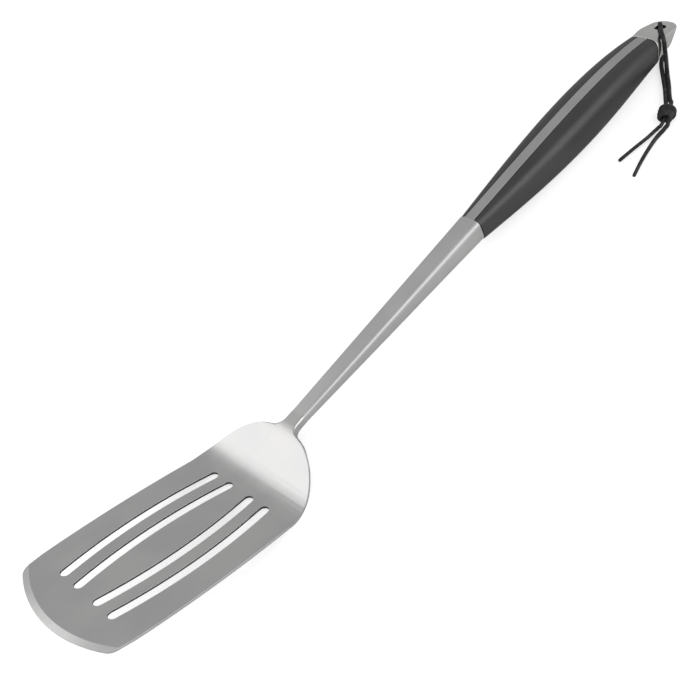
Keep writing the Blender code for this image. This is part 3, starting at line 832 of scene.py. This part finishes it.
@dataclass
class Thong:
    """The lace through the hanging hole: two halves, tied together in one overhand knot."""

    finish: LaceLeather
    lace: Lace = field(default_factory=Lace)
    routes: dict[str, list[Vector]] = field(default_factory=dict)
    spacing: float = 0.0009
    twist: float = 1.6
    floor_gap: float = 0.0001
    knot_turns: float = 2.0
    knot_start: float = math.radians(-150)
    knot_length: float = 0.0122
    knot_winding: float = 0.0098
    knot_lean: float = 0.0012
    knot_offset: float = 0.0011
    knot_side: float = 0.0035
    knot_rise: float = 0.0022
    knot_height: float = 0.0034
    knot_steps: int = 72
    knot_spacing: float = 0.0005
    tuck_share: float = 0.13
    tuck_depth: float = 0.50
    barrel_least: float = 0.92
    barrel_growth: float = 0.22
    upper_strand: tuple[Point, ...] = (
        (0.0012, 0.0009, 0.0118),
        (0.0009, 0.0007, 0.0146),
        (-0.0007, -0.0005, 0.0172),
        (-0.0036, -0.0029, 0.0183),
        (-0.0074, -0.0057, 0.0184),
        (-0.0106, -0.0082, 0.0187),
        (-0.0126, -0.0103, 0.0176),
        (-0.0135, -0.0112, 0.0146),
        (-0.0140, -0.0114, 0.0105),
        (-0.0152, -0.0122, 0.0058),
        (-0.0184, -0.0142, 0.0023),
        (-0.0240, -0.0182, 0.0014),
        (-0.0310, -0.0234, 0.0014),
        (-0.0380, -0.0282, 0.0019),
        (-0.0430, -0.0319, 0.0027),
        (-0.0474, -0.0352, 0.0033),
    )
    lower_strand: tuple[Point, ...] = (
        (0.0012, 0.0009, 0.0115),
        (0.0013, 0.0010, 0.0088),
        (0.0012, 0.0009, 0.0062),
        (0.0006, 0.0004, 0.0037),
        (-0.0009, -0.0008, 0.0019),
        (-0.0032, -0.0025, 0.0013),
        (-0.0065, -0.0044, 0.0012),
        (-0.0100, -0.0057, 0.0012),
        (-0.0140, -0.0072, 0.0012),
        (-0.0185, -0.0100, 0.0012),
        (-0.0264, -0.0160, 0.0012),
        (-0.0345, -0.0223, 0.0015),
        (-0.0400, -0.0264, 0.0022),
        (-0.0443, -0.0297, 0.0028),
        (-0.0484, -0.0330, 0.0033),
    )
    run_heading: float = math.radians(36)
    run_start: int = 6
    draw_in: float = 0.0008
    knot_centre: Point = (-0.0542, -0.0372, 0.0033)
    knot_heading: float = math.radians(26)
    inner_tail: tuple[Point, ...] = (
        (-0.0620, -0.0390, 0.0028),
        (-0.0642, -0.0382, 0.0018),
        (-0.0670, -0.0375, 0.0013),
        (-0.0728, -0.0369, 0.0012),
        (-0.0822, -0.0352, 0.0012),
        (-0.0941, -0.0333, 0.0012),
    )
    outer_tail: tuple[Point, ...] = (
        (-0.0601, -0.0415, 0.0029),
        (-0.0634, -0.0416, 0.0017),
        (-0.0675, -0.0414, 0.0012),
        (-0.0738, -0.0416, 0.0012),
        (-0.0826, -0.0429, 0.0012),
        (-0.0912, -0.0446, 0.0012),
        (-0.1014, -0.0472, 0.0012),
    )

    def place(self, points: tuple[Point, ...]) -> list[Vector]:
        """Move points given from the hanging hole's axis into the model's frame."""
        pivot = frame["record"]["behaviour"]["joints"][0]["pos_m"]
        return [Vector((pivot[0] + x, pivot[1] + y, z)) for x, y, z in points]

    def drawn_in(self, strand: tuple[Point, ...]) -> tuple[Point, ...]:
        """Bring a strand's run along the floor up against its fellow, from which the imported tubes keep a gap.

        Args:
            strand: The strand's points.

        Returns:
            The points, moved sideways most in the middle of that run.
        """
        across = Vector((math.sin(self.run_heading), -math.cos(self.run_heading), 0)) * self.draw_in
        run = len(strand) - 1 - self.run_start
        moved = []
        for i, point in enumerate(strand):
            share = math.sin(math.pi * max(i - self.run_start, 0) / run)
            moved.append(tuple(Vector(point) + across * share))
        return tuple(moved)

    def half(
        self, name: str, strand: tuple[Point, ...], tail: tuple[Point, ...], twist: float
    ) -> bpy.types.Object:
        """One half of the lace, from the hole through the knot to its cut end, no lower than the floor.

        Args:
            name: The piece's name.
            strand: The route from the hole to the knot.
            tail: The route from the knot to the cut end.
            twist: How far the strip turns about itself.

        Returns:
            The swept half, whose route is kept in routes.
        """
        route = smooth_route(self.place(strand + tail), self.spacing)
        for point in route:
            point.z = max(point.z, self.lace.width / 2 + self.floor_gap)
        made = self.lace.sweep(name, route, twist)
        self.routes[name] = route
        return made

    def knot_wrap(self, name: str, offset: float) -> bpy.types.Object:
        """One strand's turns in the knot, which start and end under the others.

        Args:
            name: The piece's name.
            offset: How far along the knot this strand lies from the other.

        Returns:
            The swept strand.
        """
        centre = self.place((self.knot_centre,))[0]
        centre.z = self.knot_height
        ahead = Vector((math.cos(self.knot_heading), math.sin(self.knot_heading), 0))
        across = Vector((-ahead.y, ahead.x, 0))
        points = []
        for i in range(self.knot_steps + 1):
            share = i / self.knot_steps
            turn = self.knot_start + math.tau * self.knot_turns * share
            place = (0.5 - share) * self.knot_winding + offset
            shown = min(1.0, min(share, 1 - share) / self.tuck_share)
            reach = self.tuck_depth + (1 - self.tuck_depth) * shown * shown * (3 - 2 * shown)
            barrel = self.barrel_least + self.barrel_growth * math.cos(math.pi * place / self.knot_length)
            points.append(
                centre
                + ahead * (place + self.knot_lean * math.sin(turn))
                + across * (self.knot_side * reach * barrel * math.cos(turn))
                + Vector((0, 0, self.knot_rise * reach * math.sin(turn)))
            )
        return self.lace.sweep(name, smooth_route(points, self.knot_spacing))

    def build(self) -> list[bpy.types.Object]:
        leather = self.finish.material()
        drawn = self.drawn_in(self.lower_strand)
        upper = self.half("lace_upper_half", self.upper_strand, self.inner_tail, self.twist)
        lower = self.half("lace_lower_half", drawn, self.outer_tail, -self.twist)
        first = self.knot_wrap("knot_first_turns", self.knot_offset)
        second = self.knot_wrap("knot_second_turns", -self.knot_offset)
        for piece in (upper, lower, first, second):
            piece.data.materials.append(leather)
        Bench.fit(upper, Body.LANYARD, Slot.THONG, ("thong_upper_strand", "thong_inner_tail"))
        Bench.fit(lower, Body.LANYARD, Slot.THONG, ("thong_lower_strand", "thong_outer_tail"))
        Bench.fit(first, Body.LANYARD, Slot.THONG, ("thong_knot",))
        Bench.fit(second, Body.LANYARD, Slot.THONG, ())
        return [upper, lower, first, second]


# The studio


@dataclass
class Viewpoint:
    """The camera, which looks down on the spatula from the front edge's side, rolled a little."""

    eye: Point = (-0.22882, -0.33977, 0.38697)
    aim: Point = (-0.04007, 0.01353, 0.0)
    roll: float = math.radians(-25.86)
    lens: float = 56.57

    def build(self) -> bpy.types.Object:
        """Build the camera and make it the scene's own."""
        data = bpy.data.cameras.new("viewpoint")
        data.lens = self.lens
        data.sensor_width = 36.0
        data.clip_start = 0.01
        made = bpy.data.objects.new("viewpoint", data)
        bpy.context.scene.collection.objects.link(made)
        look = Vector(self.aim) - Vector(self.eye)
        turn = look.to_track_quat("-Z", "Y").to_matrix().to_4x4()
        made.matrix_world = Matrix.Translation(self.eye) @ turn @ Matrix.Rotation(self.roll, 4, "Z")
        bpy.context.scene.camera = made
        return made


@dataclass
class SoftLight:
    """One softbox."""

    name: str
    place: Point
    size: float
    power: float
    target: Point = (0.0, 0.0, 0.0)

    def build(self) -> bpy.types.Object:
        """Build the light, turned to its target."""
        data = bpy.data.lights.new(self.name, "AREA")
        data.shape = "SQUARE"
        data.size = self.size
        data.energy = self.power
        made = bpy.data.objects.new(self.name, data)
        bpy.context.scene.collection.objects.link(made)
        made.location = self.place
        look = Vector(self.target) - Vector(self.place)
        made.rotation_euler = look.to_track_quat("-Z", "Y").to_euler()
        return made


@dataclass
class Studio:
    """The pale floor, the softboxes and the even light around them."""

    floor: StudioPaper
    lights: tuple[SoftLight, ...]
    around: float = 0.5
    seen: float = 1.0
    floor_radius: float = 6.0
    floor_depth: float = 0.00005

    def build(self) -> None:
        """Build the floor, the lights and the world."""
        bpy.ops.object.select_all(action="DESELECT")
        bpy.ops.mesh.primitive_circle_add(
            vertices=96, radius=self.floor_radius, fill_type="NGON", location=(0, 0, -self.floor_depth)
        )
        sweep = bpy.context.object
        sweep.name = "studio_floor"
        sweep.data.materials.append(self.floor.material())
        for light in self.lights:
            light.build()
        world = bpy.data.worlds.new("studio_air")
        world.use_nodes = True
        nodes, links = world.node_tree.nodes, world.node_tree.links
        lit = nodes["Background"]
        lit.inputs["Color"].default_value = WHITE
        lit.inputs["Strength"].default_value = self.around
        plain = nodes.new("ShaderNodeBackground")
        plain.inputs["Color"].default_value = WHITE
        plain.inputs["Strength"].default_value = self.seen
        path = nodes.new("ShaderNodeLightPath")
        choose = nodes.new("ShaderNodeMixShader")
        links.new(path.outputs["Is Camera Ray"], choose.inputs[0])
        links.new(lit.outputs[0], choose.inputs[1])
        links.new(plain.outputs[0], choose.inputs[2])
        links.new(choose.outputs[0], nodes["World Output"].inputs["Surface"])
        bpy.context.scene.world = world
        view = bpy.context.scene.view_settings
        view.view_transform = "Standard"
        view.look = "None"


def main() -> None:
    """Build the camera, the lace, the steel and the scales, and the studio."""
    logging.basicConfig(level=logging.INFO, format="%(name)s: %(message)s")
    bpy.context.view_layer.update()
    Viewpoint().build()
    Thong(LaceLeather("lace_leather")).build()
    patches = patch_group()
    head_grain = grain_group("head_grain", 90.0, 2200.0, TILT)
    shank_grain = grain_group("shank_grain", 70.0, 2400.0, 0.0)
    head_steel = BrushedSteel(
        "head_brushed", head_grain, patches, (0.56, 0.56, 0.56), (0.61, 0.605, 0.60), 0.26, 0.36, 0.000004
    )
    shank_steel = BrushedSteel(
        "shank_brushed", shank_grain, patches, (0.57, 0.57, 0.57), (0.61, 0.61, 0.605), 0.46, 0.58, 0.000004
    )
    tang_steel = BrushedSteel(
        "tang_dulled", shank_grain, patches, (0.47, 0.47, 0.47), (0.51, 0.51, 0.505), 0.50, 0.62, 0.000006
    )
    cap_steel = BrushedSteel(
        "cap_polished", shank_grain, patches, (0.62, 0.62, 0.61), (0.66, 0.66, 0.65), 0.16, 0.24, 0.000002
    )
    dowel_steel = BrushedSteel(
        "dowel_plain", shank_grain, patches, (0.5, 0.5, 0.5), (0.55, 0.55, 0.55), 0.3, 0.4, 0.000002
    )
    # The ground front bevel: smoother steel whose lighter colour is a painted highlight.
    bevel_highlight_steel = BrushedSteel(
        "ground_edge_painted_highlight", shank_grain, patches, (0.66, 0.66, 0.655), (0.72, 0.72, 0.715), 0.24, 0.32, 0.000003
    )
    # The slot walls' dark material paints shade on them.
    TurnerHead(head_steel, SlotWallShadeSteel("slot_walls_painted_shade", head_grain), bevel_highlight_steel).build()
    Handle(shank_steel, tang_steel, cap_steel, dowel_steel, MouldedBlack("scale_moulding", patches)).build()
    lights = (
        SoftLight("back_left_softbox", (-0.68, 0.94, 0.98), 1.2, 5.1),
        SoftLight("front_softbox", (0.40, -1.15, 0.48), 1.5, 10.5),
    )
    Studio(StudioPaper("studio_paper", 0.80, 0.60), lights).build()
    bpy.context.view_layer.update()


if __name__ == "__main__":
    main()
